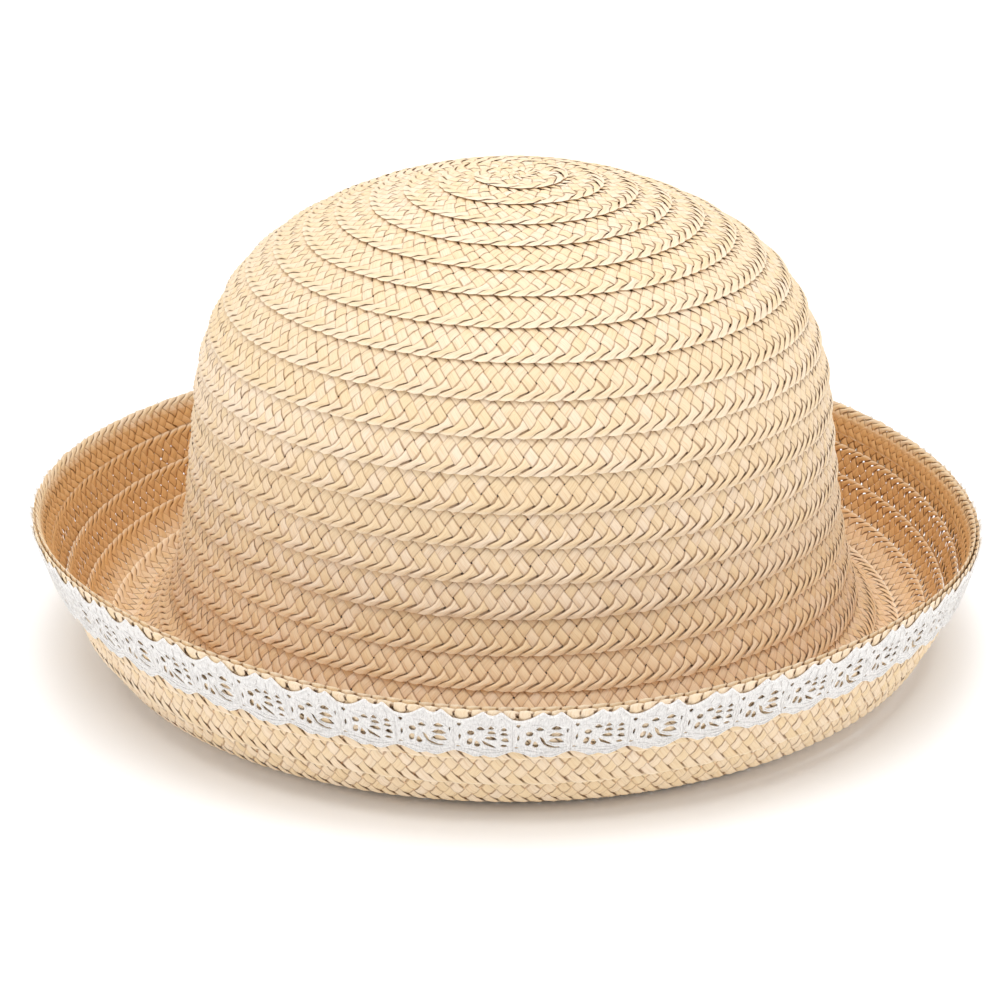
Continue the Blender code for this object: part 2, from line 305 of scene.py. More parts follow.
@dataclass(frozen=True)
class WheatStraw:
    """Split wheat straw, dried and pressed flat: a soft gloss, with fine fibres along each straw."""

    pale: str = "F4DFC4"
    golden: str = "EFD5AC"
    painted_shade_gold: str = "D6A263"  # painted shade: the brim's upper side, darker and more golden where the crown and brim shade it and light bounces between straws
    fibre: str = "D8AE76"
    # Dark brown of the straws' own edges, and painted shade where a straw dips under another.
    seam_and_shade: str = "8E5520"
    painted_fold_highlight: str = "FBEBD0"  # painted highlight: the straws' folds along the lip, paler where they stand out into the light
    roughness: float = 0.5
    streak_length: float = 6.0  # in millimetres
    fibre_width: float = 0.26  # in millimetres, about twice the real width so that it shows
    fibre_depth: float = 0.10 * MM
    stain_size: tuple = (9.0, 4.0)  # in millimetres, along and across
    apart: float = 57.0  # in millimetres, how far the pattern moves from the palest straw to the most golden
    # Fades, each from where it starts to where it is full, with its full share
    stains: tuple = (0.45, 0.80, 0.70)  # by the stains' noise
    streaks: tuple = (0.48, 0.80, 0.68)  # by the fibres' noise
    fold_highlight_share: tuple = (1.10, 1.90, 0.60)  # painted highlight, by how openly the straw lies, which is 2 on a fold
    dark_edge_and_shade: tuple = (1.04, 1.20, 0.30)  # darker straw edges with painted shade beside them, by the distance from a straw's middle in millimetres
    painted_dip_shade: tuple = (0.16, -0.12, 0.52)  # painted shade where a straw dips under another, by how openly the straw lies, which is below 0 under another
    rounding: tuple = (1.25, 0.25, 1.00)  # by the distance from a straw's middle, up to its flat top
    round_depth: float = 0.14 * MM
    shade_deepening: float = 0.5  # how much stronger the lines are in the painted shade on the brim's upper side

    def material(self) -> bpy.types.Material:
        """Builds the straw's material, which reads the straws' own map in millimetres."""
        make = Shading("wheat_straw_braid")
        flat = make.node("UVMap", {"uv_map": "straw"}).outputs["UV"]
        tone = make.node("Attribute", {"attribute_name": "straw_tone"}).outputs["Fac"]
        open_to = make.node("Attribute", {"attribute_name": "straw_open"}).outputs["Fac"]
        apart = make.node("Math", {"operation": "MULTIPLY"}, i0=tone, i1=self.apart).outputs[0]
        apart = make.node("CombineXYZ", Z=apart).outputs[0]
        shifted = make.node("VectorMath", {"operation": "ADD"}, i0=flat, i1=apart).outputs[0]
        fibres = make.node("Mapping", Vector=shifted,
                           Scale=(1 / self.streak_length, 1 / self.fibre_width, 1.0)).outputs[0]
        streak = make.node("TexNoise", Vector=fibres, Scale=1.0, Detail=3.0, Roughness=0.6).outputs["Fac"]
        stains = make.node("Mapping", Vector=shifted,
                           Scale=(1 / self.stain_size[0], 1 / self.stain_size[1], 1.0)).outputs[0]
        stain = make.node("TexNoise", Vector=stains, Scale=1.0, Detail=2.0).outputs["Fac"]
        colour = make.ramp(tone, (0.0, self.pale), (1.0, self.golden))
        colour = make.mix(make.fade(stain, self.stains), colour, self.golden)
        colour = make.mix(make.fade(streak, self.streaks), colour, self.fibre)
        # Painted shade: the brim's upper side turns a darker gold, standing in for its shade and the light
        # bounced between straws.
        inside = make.node("Attribute", {"attribute_name": "straw_painted_shade"}).outputs["Fac"]
        colour = make.mix(inside, colour, self.painted_shade_gold)
        # Painted highlight on the folds along the lip.
        colour = make.mix(make.fade(open_to, self.fold_highlight_share), colour, self.painted_fold_highlight)
        # The seam lines: the straws' darker edges with painted shade on them, and painted shade where a straw
        # dips under its neighbour.
        across = make.node("SeparateXYZ", Vector=flat).outputs["Y"]
        distance = make.node("Math", {"operation": "ABSOLUTE"}, i0=across).outputs[0]
        edge = make.fade(distance, self.dark_edge_and_shade, SMOOTH)
        dip = make.fade(open_to, self.painted_dip_shade, SMOOTH)
        line = make.node("Math", {"operation": "MAXIMUM"}, i0=edge, i1=dip).outputs[0]
        shade_deepening = make.node("Math", {"operation": "MULTIPLY_ADD"}, i0=inside, i1=self.shade_deepening, i2=1.0)
        line = make.node("Math", {"operation": "MULTIPLY"}, i0=line, i1=shade_deepening.outputs[0]).outputs[0]
        colour = make.mix(line, colour, self.seam_and_shade)
        make.tree.links.new(colour, make.shader.inputs["Base Color"])
        rounding = make.fade(distance, self.rounding, SMOOTH)
        rounded = make.node("Bump", Strength=0.5, Distance=self.round_depth, Height=rounding).outputs[0]
        bump = make.node("Bump", Strength=0.5, Distance=self.fibre_depth, Height=streak, Normal=rounded)
        make.tree.links.new(bump.outputs[0], make.shader.inputs["Normal"])
        make.shader.inputs["Roughness"].default_value = self.roughness
        make.shader.inputs["Specular IOR Level"].default_value = 0.3
        return make.material


@dataclass(frozen=True)
class CottonLace:
    """Bleached cotton thread, bobbin-made and pressed: matt white with fine twisted threads."""

    thread: str = "EEEBE7"
    shade: str = "D9D5D1"
    roughness: float = 0.85
    thread_width: float = 0.35  # in millimetres
    thread_depth: float = 0.15 * MM

    def material(self) -> bpy.types.Material:
        """Builds the lace's material, which reads the lace's own map in millimetres."""
        make = Shading("cotton_lace")
        flat = make.node("UVMap", {"uv_map": "lace"}).outputs["UV"]
        scaled = make.node("Mapping", Vector=flat,
                           Scale=(1 / self.thread_width, 0.3 / self.thread_width, 1.0)).outputs[0]
        twist = make.node("TexNoise", Vector=scaled, Scale=1.0, Detail=2.0, Roughness=0.5).outputs["Fac"]
        colour = make.ramp(twist, (0.3, self.shade), (0.6, self.thread))
        make.tree.links.new(colour, make.shader.inputs["Base Color"])
        bump = make.node("Bump", Strength=0.4, Distance=self.thread_depth, Height=twist)
        make.tree.links.new(bump.outputs[0], make.shader.inputs["Normal"])
        make.shader.inputs["Roughness"].default_value = self.roughness
        make.shader.inputs["Sheen Weight"].default_value = 0.15
        return make.material


# The braid


class Course(Enum):
    """How a stretch of braid runs round the hat."""

    SPIRAL = "spiral"
    RING = "ring"


@dataclass(frozen=True)
class Plait:
    """Five flat straws plaited over one and under one, laid flat: x along it, y towards the tip, z out."""

    straws: int = 5
    repeat: float = 3.4 * MM  # along the braid, from one straw to the next
    angle: float = math.radians(55)  # of a straw to the braid, before its edges are pressed
    straw_width: float = 2.50 * MM
    straw_thickness: float = 0.40 * MM
    rise: float = 0.27 * MM  # of a straw over the braid's middle at a crossing
    fold_roll: float = 0.6 * MM
    wander: float = 0.20 * MM  # of a straw to either side of its even course
    uneven: float = 0.09  # share by which a straw's width varies
    notch: float = 0.20  # share of a straw's width that is pinched away beside the lip
    notch_reach: float = 0.8 * MM
    lip_lean: float = 1.5 * MM  # of the folds along the braid, which lays the lip's straws flat like a rope
    parts_to_node: int = 2
    # Over the braid's middle: the lip's fold, the four lines of crossings and the tucked fold
    heights: tuple = (-5.35 * MM, -3.40 * MM, -0.95 * MM, 1.35 * MM, 3.35 * MM, 5.35 * MM)

    @property
    def level(self) -> float:
        """The height from one row of crossings to the next."""
        return self.repeat / 2 * math.tan(self.angle)

    @property
    def node(self) -> float:
        """The length of straw from one crossing to the next."""
        return self.level / math.sin(self.angle)

    @property
    def fold(self) -> float:
        """The flat braid's half width, to the folds."""
        return self.straws * self.level / 2

    @property
    def crossings(self) -> tuple[float, ...]:
        """The flat heights of the lines on which the straws cross, over the braid's middle."""
        return tuple(-self.fold + self.level * (line + 1) for line in range(self.straws - 1))

    @property
    def half_width(self) -> float:
        """The pressed braid's half width."""
        return self.heights[-1]

    def straight_straw(self, name: str, length: float) -> bpy.types.Object:
        """Makes one straight flat straw along X, at least this long.

        Args:
            name: The object's name.
            length: Its length along the straw.

        Returns:
            The straw, with its edges leaning as the crossing straws do.
        """
        step = self.node / self.parts_to_node
        bpy.ops.object.select_all(action="DESELECT")
        bpy.ops.mesh.primitive_cylinder_add(
            vertices=4, radius=0.5, depth=step, end_fill_type="NOTHING", rotation=(0.0, math.pi / 2, 0.0),
        )
        straw = bpy.context.object
        straw.name = name
        bpy.ops.object.transform_apply(location=True, rotation=True, scale=True)
        points = points_of(straw)
        points[:, 0] += step / 2
        points[:, 1] *= self.straw_width
        points[:, 2] *= self.straw_thickness
        points[:, 0] -= points[:, 1] / math.tan(2 * self.angle)
        set_points(straw, points)
        bpy.ops.object.mode_set(mode="EDIT")
        bpy.ops.mesh.select_all(action="SELECT")
        bpy.ops.mesh.quads_convert_to_tris(quad_method="SHORTEST_DIAGONAL")
        bpy.ops.object.mode_set(mode="OBJECT")
        array = straw.modifiers.new("lengthen", "ARRAY")
        array.use_relative_offset = False
        array.use_constant_offset = True
        array.constant_offset_displace = (step, 0.0, 0.0)
        array.count = max(int(math.ceil(length / step)), 1)
        array.use_merge_vertices = True
        array.merge_threshold = 0.001 * MM
        bpy.ops.object.modifier_apply(modifier="lengthen")
        bpy.ops.object.mode_set(mode="EDIT")
        bpy.ops.mesh.select_all(action="DESELECT")
        bpy.ops.mesh.select_mode(type="EDGE")
        bpy.ops.mesh.select_non_manifold()
        bpy.ops.mesh.fill_holes(sides=4)
        bpy.ops.mesh.select_mode(type="VERT")
        bpy.ops.object.mode_set(mode="OBJECT")
        return straw

    def along(self, points: np.ndarray) -> np.ndarray:
        """The length along a straight straw, counted parallel to the straws that cross it."""
        return points[:, 0] + points[:, 1] / math.tan(2 * self.angle)

    def weave(self, points: np.ndarray, index: int) -> tuple[np.ndarray, np.ndarray]:
        """Folds points of a straight straw into its place in the flat plait.

        Args:
            points: Rows of the length along the straw, the place across it and the place in its thickness.
            index: Which of the plait's straws it is.

        Returns:
            Rows of x, y and z in the flat braid, and for each point how openly the straw's first face lies:
            from 1, over a crossing, to -1, under it, with 2 on a fold, where both faces show.
        """
        thick = points[:, 2]
        along = self.along(points)
        middle = self.fold - np.abs(np.mod(along * math.sin(self.angle), 4 * self.fold) - 2 * self.fold)
        beside_lip = (middle - self.crossings[0]) / self.notch_reach
        width = 1.0 - self.notch * np.exp(-beside_lip * beside_lip)
        width *= 1.0 + self.uneven * np.sin(along / (5.3 * MM) + 2.4 * index)
        across = points[:, 1] * width
        across += self.wander * np.sin(along / (4.1 * MM) + 1.9 * index) * np.sin(along / (31.0 * MM))
        lean = -across / math.sin(2 * self.angle)
        x = (along + lean) * math.cos(self.angle)
        level_up = (along - lean) * math.sin(self.angle)
        nearest = np.round(level_up / (2 * self.fold))
        past = level_up - nearest * 2 * self.fold
        side = np.where(nearest.astype(int) % 2 == 1, 1.0, -1.0)
        flat = side * (self.fold - np.abs(past))
        node = np.mod(along / self.node, self.straws)
        near_fold = (node < 0.75) | (node > self.straws - 0.75)
        height = np.where(near_fold, np.clip(past / (0.5 * self.level), -1.0, 1.0),
                          np.cos(math.pi * (node - 1.0)))
        y = np.interp(flat, (-self.fold, *self.crossings, self.fold), self.heights)
        roll = math.pi / 2 * (1.0 + np.clip(past / self.fold_roll, -1.0, 1.0))
        open_to = np.where(np.abs(past) < 0.25 * self.level, 2.0, height * side * np.sign(np.cos(roll)))
        z = self.rise * height + side * thick * np.cos(roll)
        to_lip = np.clip((self.crossings[0] - flat) / self.level, 0.0, 1.0)
        x = x - self.lip_lean * to_lip * (2.0 - to_lip)
        return np.stack([x, y - thick * np.sin(roll), z], axis=1), open_to


@dataclass(frozen=True)
class Braid:
    """The whole braid as it is sewn round the hat, each turn tucked under the turn before it."""

    form: HatForm
    plait: Plait
    tip: float = 11.6 * MM  # the outer edge of the braid at the front, at the end of its first turn
    pitch: float = 8.86 * MM
    side_pitch: float = 8.55 * MM
    side_turn: float = 8.0  # from which the turns lie closer, on the crown's side
    foot_turn: float = 17.0
    rim_turn: float = 23.63  # on which the spiral reaches the rim
    first_turn: float = -1.0
    lip_out: float = 1.10 * MM  # of the braid's middle at its outer edge
    tuck_out: float = -0.15 * MM  # of the braid's middle at its tucked edge
    flat_lift: float = 0.72  # share of the lip's rise over the tucked edge at the tip, which is flat
    eye: float = 0.4 * MM  # radius of the middle of the first coil
    start_tuck: float = 1.7 * MM  # of the braid's start, under the coil
    edge_width: float = 9.0 * MM
    edge_out: float = 1.95 * MM  # of the rim ring's middle at its upper edge
    edge_tuck: float = 1.05 * MM  # of the rim ring's middle at its lower edge
    edge_follow: float = 0.6  # share of the last turn's lean that the rim's ring follows
    settle: float = 1.8 * MM  # of the brim's wall, outwards of the solid wall's middle
    settle_reach: float = 13.0 * MM  # from the resting ring, along the wall, until it has all settled
    splice: float = 240.0 * MM  # length of one straw in the braid
    sewn_wander: float = 0.22 * MM  # of the sewn turns, in and out
    brim_shade_share: float = 0.85  # share of painted shade, a darker gold, on the brim's upper side
    brim_shade_reach: float = 8.0 * MM  # out from the crown's foot, until the painted shade is full

    @property
    def last_turn(self) -> float:
        """The end of the braid, one turn of rim later."""
        return self.rim_turn + 1.0

    @property
    def step(self) -> float:
        """How far each turn lies inside the turn before it."""
        return (self.lip_out - self.tuck_out) * self.pitch / (2 * self.plait.half_width)

    def doubled(self, turn: np.ndarray) -> np.ndarray:
        """How far the braid's last turn has come to lie outside the turn before it, from 0 to 1."""
        past_end = np.mod(turn - self.last_turn, 1.0)
        return np.interp(past_end, (0.0, 0.05, 1.0), (1.0, 0.05, 1.0))

    def settled(self, length: np.ndarray) -> np.ndarray:
        """How far out of the solid wall's middle the brim's wall has settled at these lengths."""
        share = np.clip((length - self.form.table["rest"]) / self.settle_reach, 0.0, 1.0)
        return self.settle * share * share * (3 - 2 * share)

    def outer_edge(self, turn: np.ndarray) -> np.ndarray:
        """The length on the half section that the braid's outer edge has on these turns."""
        side = self.tip + self.pitch * self.side_turn
        foot = side + self.side_pitch * (self.foot_turn - self.side_turn)
        start = self.tip + self.pitch * (self.first_turn - 1.0)
        turns = (self.first_turn - 1.0, self.side_turn, self.foot_turn, self.rim_turn)
        return np.interp(turn, turns, (start, side, foot, self.form.rim))

    def turns_at(self) -> tuple[np.ndarray, np.ndarray]:
        """Measures the braid: the length of its middle line at fine steps of the turn."""
        turn = np.linspace(self.first_turn - 0.1, self.last_turn + 0.1, 12000)
        outer = self.outer_edge(turn)
        half = self.plait.half_width * np.clip((outer - self.eye) / (2 * self.plait.half_width), 0.05, 1.0)
        radius, _ = self.form.section(np.maximum(outer - half, 0.0), np.zeros_like(turn))
        run = np.concatenate([[0.0], np.cumsum((radius[1:] + radius[:-1]) / 2 * np.diff(turn) * math.tau)])
        return turn, run

    def lay_spiral(self, points: np.ndarray) -> np.ndarray:
        """Lays points of the flat braid on the hat's spiral.

        Args:
            points: Rows of x, y and z in the flat braid, with x measured from its start.

        Returns:
            Rows of x, y and z on the hat.
        """
        turns, run = self.turns_at()
        turn = np.interp(points[:, 0], run, turns)
        outer = self.outer_edge(turn)
        half = self.plait.half_width
        squeeze = np.clip((outer - self.eye) / (2 * half), 0.05, 1.0)
        y, z = points[:, 1], points[:, 2]
        length = outer - (y + half) * squeeze
        lift = np.interp(turn, (self.first_turn, self.side_turn), (self.flat_lift, 1.0))
        lift *= self.lip_out - self.tuck_out
        out = self.tuck_out + lift * (1.0 - (y + half) / (2 * half)) + z
        out -= self.step * np.clip(turn - self.rim_turn, 0.0, 1.0) + self.settled(length)
        start = np.clip((turn - self.first_turn) / 0.9, 0.0, 1.0)
        out -= self.start_tuck * (1.0 - start * start * (3 - 2 * start))
        sewn = self.sewn_wander * np.sin(turn * 17.3 + np.sin(turn * 5.1))
        length = length + sewn * (turn < self.rim_turn - 1.0)
        return self.form.place(turn, np.maximum(length, 0.0), out)

    def lay_ring(self, points: np.ndarray) -> np.ndarray:
        """Lays points of the flat braid on the ring inside the rim.

        Args:
            points: Rows of x, y and z in the flat braid, of which x runs once round.

        Returns:
            Rows of x, y and z on the hat.
        """
        half = self.plait.half_width
        turn = points[:, 0] / self.ring_length()
        squeeze = self.edge_width / (2 * half)
        length = self.form.rim - (points[:, 1] + half) * squeeze
        out = self.edge_out - (self.edge_out - self.edge_tuck) * (points[:, 1] + half) / (2 * half)
        out += points[:, 2] - self.edge_follow * self.step * self.doubled(turn) - self.settled(length)
        return self.form.place(turn, length, out)

    def ring_length(self) -> float:
        """The flat length of the rim's ring, a whole number of the plait's repeats."""
        middle = np.array([self.form.rim - self.edge_width / 2])
        radius, _ = self.form.section(middle, np.array([self.edge_out]))
        return round(math.tau * float(radius[0]) / self.plait.repeat) * self.plait.repeat

    def stretch(self, name: str, course: Course, start: float = 0.0, end: float = 0.0) -> bpy.types.Object:
        """Models one stretch of the braid.

        Args:
            name: The piece's name.
            course: Whether it runs in the spiral or round the rim.
            start: The turn that it starts on, in the spiral.
            end: The turn that it ends on, in the spiral.

        Returns:
            The piece, in its place on the hat.
        """
        plait = self.plait
        if course is Course.SPIRAL:
            turns, run = self.turns_at()
            x_start, x_end = (float(np.interp(t, turns, run)) for t in (start, end))
        else:
            x_start, x_end = 0.0, self.ring_length()
        node_x = plait.node * math.cos(plait.angle)
        straws = []
        for index in range(plait.straws):
            first = math.ceil((x_start - index * plait.repeat) / node_x)
            last = math.ceil((x_end - index * plait.repeat) / node_x)
            straw = plait.straight_straw(f"{name}_{index}", (last - first) * plait.node)
            points = points_of(straw)
            points[:, 0] += first * plait.node
            along = plait.along(points)
            woven, open_to = plait.weave(points, index)
            self.map_straw(straw, along, points, open_to)
            self.tone_straw(straw, along, index, course)
            woven[:, 0] += index * plait.repeat
            lay = self.lay_spiral if course is Course.SPIRAL else self.lay_ring
            set_points(straw, lay(woven))
            straws.append(straw)
        select_only(*straws)
        bpy.ops.object.join()
        piece = bpy.context.object
        piece.name = piece.data.name = name
        self.paint_brim_shade(piece)
        return piece

    def paint_brim_shade(self, piece: bpy.types.Object) -> None:
        """Paints shade, a darker gold, on the faces of the brim's upper side, from 0 at the crown's foot to
        its full share.
        """
        data = piece.data
        faces = len(data.polygons)
        middles, normals = np.empty(faces * 3, np.float32), np.empty(faces * 3, np.float32)
        data.polygons.foreach_get("center", middles)
        data.polygons.foreach_get("normal", normals)
        middles, normals = middles.reshape(-1, 3), normals.reshape(-1, 3)
        offset = middles[:, :2] - self.form.axis
        radius = np.linalg.norm(offset, axis=1)
        # Painted shade: stronger on faces turned in towards the crown and up, faded out near the rim and the
        # floor.
        inward = -(offset * normals[:, :2]).sum(axis=1) / radius + normals[:, 2]
        share = np.clip((radius - self.form.crown_radius) / self.brim_shade_reach, 0.0, 1.0)
        turn = np.arctan2(offset[:, 0], -offset[:, 1]) / math.tau
        rim = self.form.place(turn, np.full(faces, self.form.rim), np.zeros(faces))[:, 2]
        share *= np.clip((rim - middles[:, 2] - 1.5 * MM) / (2.5 * MM), 0.0, 1.0)
        share *= np.clip((middles[:, 2] + 2.0 * MM) / (12.0 * MM), 0.0, 1.0)
        inside = self.brim_shade_share * share * np.clip(inward + 0.3, 0.0, 1.0)
        layer = data.attributes.new("straw_painted_shade", "FLOAT", "FACE")
        layer.data.foreach_set("value", inside.astype(np.float32))

    @staticmethod
    def map_straw(straw: bpy.types.Object, along: np.ndarray, points: np.ndarray,
                  open_to: np.ndarray) -> None:
        """Gives a straw its map, in millimetres along it and across it, and each face how openly it lies.

        Args:
            straw: The straw, still straight.
            along: The length along the straw of each vertex.
            points: Its vertices.
            open_to: How openly the first face lies at each vertex.
        """
        data = straw.data
        corners = map_corners(data, "straw", np.stack([along, points[:, 1]], axis=1) / MM)
        middles = np.empty(len(data.polygons) * 3, np.float32)
        data.polygons.foreach_get("center", middles)
        counts = np.empty(len(data.polygons), np.int32)
        data.polygons.foreach_get("loop_total", counts)
        face = np.repeat(np.sign(middles.reshape(-1, 3)[:, 2]), counts)
        lies = open_to[corners]
        lies = np.where(lies > 1.5, lies, lies * face)
        layer = data.attributes.new("straw_open", "FLOAT", "CORNER")
        layer.data.foreach_set("value", lies.astype(np.float32))

    def tone_straw(self, straw: bpy.types.Object, along: np.ndarray, index: int, course: Course) -> None:
        """Gives each spliced length of a straw a tone of its own, from 0, pale, to 1, golden."""
        shift = {Course.SPIRAL: 0.0, Course.RING: 300.0}[course]
        length = np.floor(along / self.splice + index * 0.37) + 91.0 * index + shift
        tone = np.mod(np.sin(length * 12.9898 + 4.1414) * 43758.5453, 1.0)
        layer = straw.data.attributes.new("straw_tone", "FLOAT", "POINT")
        layer.data.foreach_set("value", tone.astype(np.float32))


# The lace


class MotifKind(Enum):
    """The two motifs that take turns along the lace."""

    LADDER = "ladder"
    TWIN = "twin"


@dataclass(frozen=True)
class Lace:
    """The cotton lace sewn round the brim's outer side, two motifs that take turns round it.

    A motif is laid out flat in millimetres, x to the right along the rim and y up from the lower edge.
    """

    braid: Braid
    motifs: int = 58
    width: float = 14.5 * MM
    drop: float = -0.3 * MM  # from the rim down to its points, which stand a little above it
    bedded: float = 0.1 * MM  # how deep its back lies in the straw
    thickness: float = 0.32 * MM
    edging: float = 0.10 * MM  # radius of the rounded edge of the sheet and its openings
    thread: float = 0.20 * MM  # radius of the thicker threads that outline the pattern
    scoop: float = 2.6
    kinds: tuple = (MotifKind.LADDER, MotifKind.TWIN)

    @property
    def period(self) -> float:
        """The length of one motif along the rim."""
        return math.tau / self.motifs * self.braid.form.brim_radius

    @staticmethod
    def blob(x: float, y: float, width: float, height: float, lean: float = 0.0, corners: int = 0) -> list:
        """The outline of one rounded opening.

        Args:
            x: Its middle.
            y: Its middle.
            width: Its width.
            height: Its height.
            lean: Its turn to the left, in degrees.
            corners: 3 for a rounded triangle with its point up, -3 with its point down, or 0 for an oval.

        Returns:
            (x, y) pairs.
        """
        c, s = math.cos(math.radians(lean)), math.sin(math.radians(lean))
        width, height = 1.12 * width, 1.12 * height
        outline = []
        for i in range(8):
            a = math.tau * i / 8 + math.pi / 8
            u, v = width / 2 * math.cos(a), height / 2 * math.sin(a)
            if corners:
                u *= 1.0 - 0.75 * math.copysign(v / (height / 2), corners * v) if v * corners > 0 else 1.15
            outline.append((x + u * c - v * s, y + u * s + v * c))
        return outline

    @staticmethod
    def slit(start: tuple, end: tuple, bow: float, width: float, count: int = 4) -> list:
        """The outline of a bowed slit, pointed at its ends.

        Args:
            start: One end.
            end: The other end.
            bow: How far its middle stands to the left of the straight line between its ends.
            width: Its width in the middle.
            count: Points along each side.

        Returns:
            (x, y) pairs.
        """
        a, b = Vector(start), Vector(end)
        left = Vector((a.y - b.y, b.x - a.x)).normalized()
        sides = []
        for sign in (1, -1):
            side = []
            for i in range(count):
                t = i / (count - 1)
                hump = math.sin(math.pi * t)
                side.append(a.lerp(b, t) + left * (bow * hump + sign * 0.6 * width * hump ** 0.7))
            sides.append(side)
        outline = sides[0] + sides[1][-2:0:-1]
        return [(point.x, point.y) for point in outline]

    def upper_edge(self, inset: float = 0.0, count: int = 25) -> list:
        """The upper edge from left to right: half a scoop, two points and half a scoop."""
        p, top = self.period / MM, self.width / MM - inset
        knots = np.array([(0.0, top - 0.88 * self.scoop), (0.14 * p, top - self.scoop),
                          (0.30 * p, top - 0.75 * self.scoop), (0.44 * p, top - 0.25 * self.scoop),
                          (0.52 * p, top), (0.59 * p, top - 0.85), (0.68 * p, top - 1.15),
                          (0.75 * p, top - 0.7), (0.82 * p, top), (0.91 * p, top - 0.45 * self.scoop),
                          (p, top - 0.88 * self.scoop)])
        return catmull(knots, np.linspace(0, len(knots) - 1, count)).tolist()

    def lower_edge(self, inset: float = 0.0, count: int = 15) -> list:
        """The lower edge from left to right, with two low points."""
        p = self.period / MM
        knots = np.array([(0.0, 2.2), (0.12 * p, 1.8), (0.25 * p, 0.9), (0.36 * p, 0.15), (0.50 * p, 0.8),
                          (0.64 * p, 0.0), (0.78 * p, 0.7), (0.90 * p, 1.7), (p, 2.2)]) + (0.0, inset)
        return catmull(knots, np.linspace(0, len(knots) - 1, count)).tolist()

    def openings(self, kind: MotifKind) -> list:
        """The openings of one motif, as outlines."""
        shared = [
            self.blob(1.3, 10.3, 0.9, 1.0, 0, -3),
            self.blob(3.8, 7.9, 1.5, 1.4),
            self.blob(6.1, 9.4, 1.7, 1.1, 0, 3),
            self.blob(3.5, 5.2, 1.2, 2.0, -18),
            self.blob(5.1, 4.6, 1.2, 1.9, 8, 3),
            self.slit((1.4, 7.6), (1.2, 5.6), 0.0, 0.45),
            self.slit((0.3, 3.5), (1.5, 3.6), 0.1, 0.5),
        ]
        if kind is MotifKind.LADDER:
            return shared + [
                self.blob(9.7, 9.6, 2.0, 1.2, 0, 3),
                self.slit((8.0, 7.3), (11.5, 7.2), 0.35, 1.2),
                self.slit((7.8, 5.5), (11.6, 5.1), 0.5, 1.45),
                self.slit((6.0, 7.1), (10.9, 3.4), -0.9, 1.1, 6),
                self.slit((12.2, 9.4), (12.3, 7.9), 0.0, 0.4),
                self.slit((7.2, 2.2), (9.3, 2.3), 0.1, 0.35),
            ]
        return shared + [
            self.blob(8.3, 9.7, 1.3, 1.1, 0, 3),
            self.slit((7.3, 8.0), (9.5, 7.9), 0.25, 0.9),
            self.slit((6.8, 6.4), (9.6, 6.0), 0.35, 1.15),
            self.slit((6.0, 5.8), (9.4, 3.5), -0.5, 0.95, 5),
            self.blob(11.2, 9.3, 1.3, 1.0, 0, 3),
            self.slit((10.2, 7.6), (12.2, 7.5), 0.25, 0.85),
            self.slit((10.4, 5.9), (12.3, 5.5), 0.3, 1.1),
            self.slit((10.2, 4.1), (12.0, 4.0), 0.1, 0.7),
        ]

    def threads(self, kind: MotifKind) -> list:
        """The thicker threads of one motif, as open lines."""
        lines = [
            self.upper_edge(0.35, 19),
            self.lower_edge(0.35, 13),
            [(0.2, 2.9), (3.4, 2.6), (6.2, 1.5), (9.4, 1.7), (12.8, 2.8)],
            [(0.7, 4.3), (3.0, 3.6), (6.8, 2.7), (9.9, 2.5), (12.3, 3.6)],
            [(0.5, 9.3), (0.8, 6.9), (0.5, 4.6)],
            [(2.2, 9.0), (2.5, 6.6), (2.1, 4.4)],
            [(12.6, 9.2), (12.3, 6.8), (12.7, 4.6)],
            [(2.6, 10.2), (4.9, 9.0), (5.2, 7.6), (4.3, 5.6), (4.2, 3.7)],
            [(4.3, 10.6), (6.1, 10.5), (7.4, 9.2), (7.3, 7.6)],
            [(5.9, 11.2), (6.5, 12.6)],
            [(8.5, 10.9), (8.6, 12.4)],
            [(11.3, 10.9), (10.8, 12.6)],
        ]
        if kind is MotifKind.LADDER:
            return lines + [
                [(7.9, 9.1), (8.6, 10.3), (9.8, 10.7), (11.0, 10.2), (11.7, 9.0)],
                [(7.7, 8.3), (9.8, 8.6), (11.8, 8.2)],
                [(7.5, 6.5), (9.7, 6.9), (11.8, 6.4)],
                [(5.2, 7.4), (5.9, 5.2), (7.9, 3.5), (10.9, 2.9)],
                [(6.8, 7.2), (7.6, 5.1), (9.4, 4.2), (11.8, 4.3)],
            ]
        return lines + [
            [(7.2, 9.3), (8.3, 10.7), (9.6, 9.3), (9.9, 7.0), (9.7, 4.8)],
            [(9.9, 9.0), (11.2, 10.4), (12.2, 9.2)],
            [(6.9, 7.2), (8.4, 7.4), (9.8, 7.1)],
            [(5.6, 6.6), (6.6, 4.4), (9.6, 2.9)],
        ]

